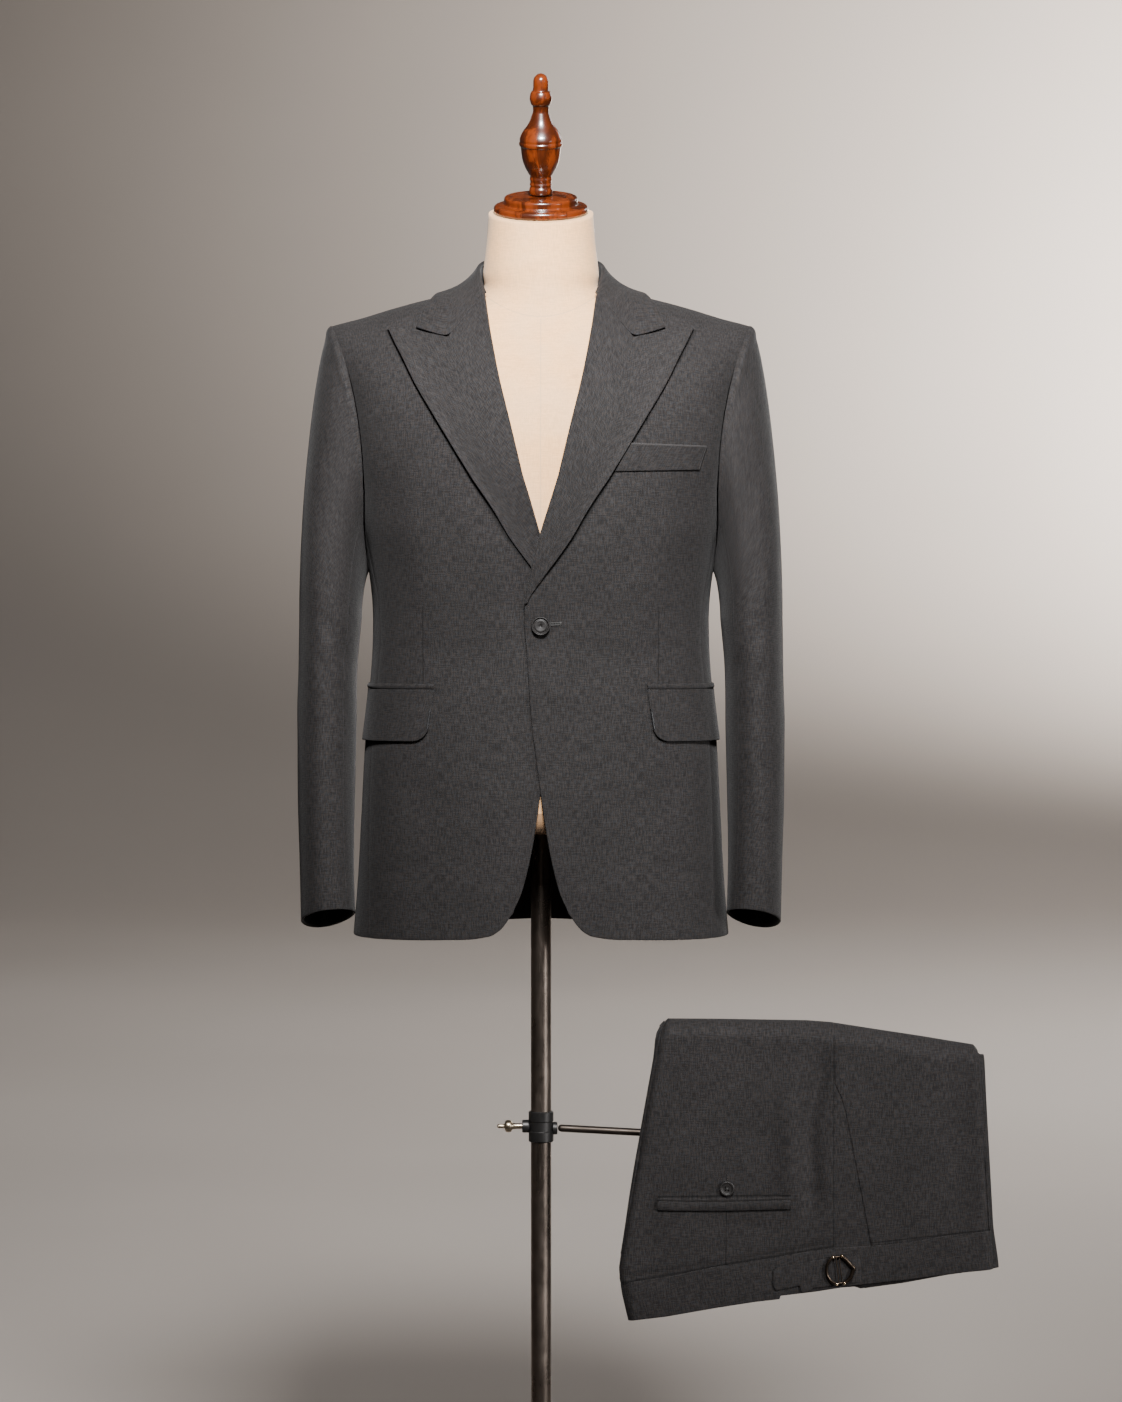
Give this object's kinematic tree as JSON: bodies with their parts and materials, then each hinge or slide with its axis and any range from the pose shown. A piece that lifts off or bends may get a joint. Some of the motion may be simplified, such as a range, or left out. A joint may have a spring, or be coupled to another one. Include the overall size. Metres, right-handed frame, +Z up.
{
  "type": "two-piece suit on a limbless dress form with stand",
  "caption": "Single-breasted peak-lapel jacket worn by a limbless tailor's dress form on a pole stand, with its folded trousers hung on the stand's side arm.",
  "frame": {"origin": "centre of the stand's base on the floor, on the pole's axis", "axes": "+Z up; the suit faces -Y; +X is the wearer's left, where the trousers hang"},
  "size_m": [0.752, 0.39, 1.7333],
  "materials": {
    "jacket_wool": "fine worsted wool, matt with a soft sheen",
    "trouser_wool": "fine worsted wool, matt with a soft sheen",
    "horn": "dark polished horn",
    "canvas": "cream canvas, aged",
    "mahogany": "polished reddish-brown mahogany",
    "pole_metal": "polished dark nickel",
    "dark_iron": "dark satin metal",
    "screw_metal": "dull nickel over brass",
    "bronze": "dark bronze with bright corners"
  },
  "bodies": {
    "stand": {"stand_base": "dark_iron", "stand_pole": "pole_metal", "form_torso": "canvas", "neck_cap": "mahogany", "finial": "mahogany", "jacket_front_left": "jacket_wool", "jacket_front_right": "jacket_wool", "jacket_side_left": "jacket_wool", "jacket_side_right": "jacket_wool", "jacket_back_left": "jacket_wool", "jacket_back_right": "jacket_wool", "lapel_left": "jacket_wool", "lapel_right": "jacket_wool", "collar": "jacket_wool", "sleeve_top_left": "jacket_wool", "sleeve_top_right": "jacket_wool", "sleeve_under_left": "jacket_wool", "sleeve_under_right": "jacket_wool", "breast_pocket_welt": "jacket_wool", "pocket_flap_left": "jacket_wool", "pocket_flap_right": "jacket_wool", "pocket_jet_left": "jacket_wool", "pocket_jet_right": "jacket_wool", "front_button": "horn"},
    "arm": {"clamp_collar": "dark_iron", "trouser_arm": "pole_metal", "trousers_under_layers": "trouser_wool", "trousers_back_left": "trouser_wool", "trousers_front_left": "trouser_wool", "trousers_pocket_facing": "trouser_wool", "waistband_left": "trouser_wool", "adjuster_strap": "trouser_wool", "adjuster_buckle": "bronze", "hip_pocket_welt": "trouser_wool", "hip_pocket_button": "horn"},
    "screw": {"thumb_screw": "screw_metal"}
  },
  "joints": [
    {"name": "arm_swivel", "type": "hinge", "parent": "stand", "child": "arm", "pos_m": [0, 0, 0.599], "axis": [0, 0, 1], "continuous": true},
    {"name": "screw_turn", "type": "hinge", "parent": "arm", "child": "screw", "pos_m": [-0.03, 0, 0.599], "axis": [1, 0, 0], "continuous": true}
  ]
}
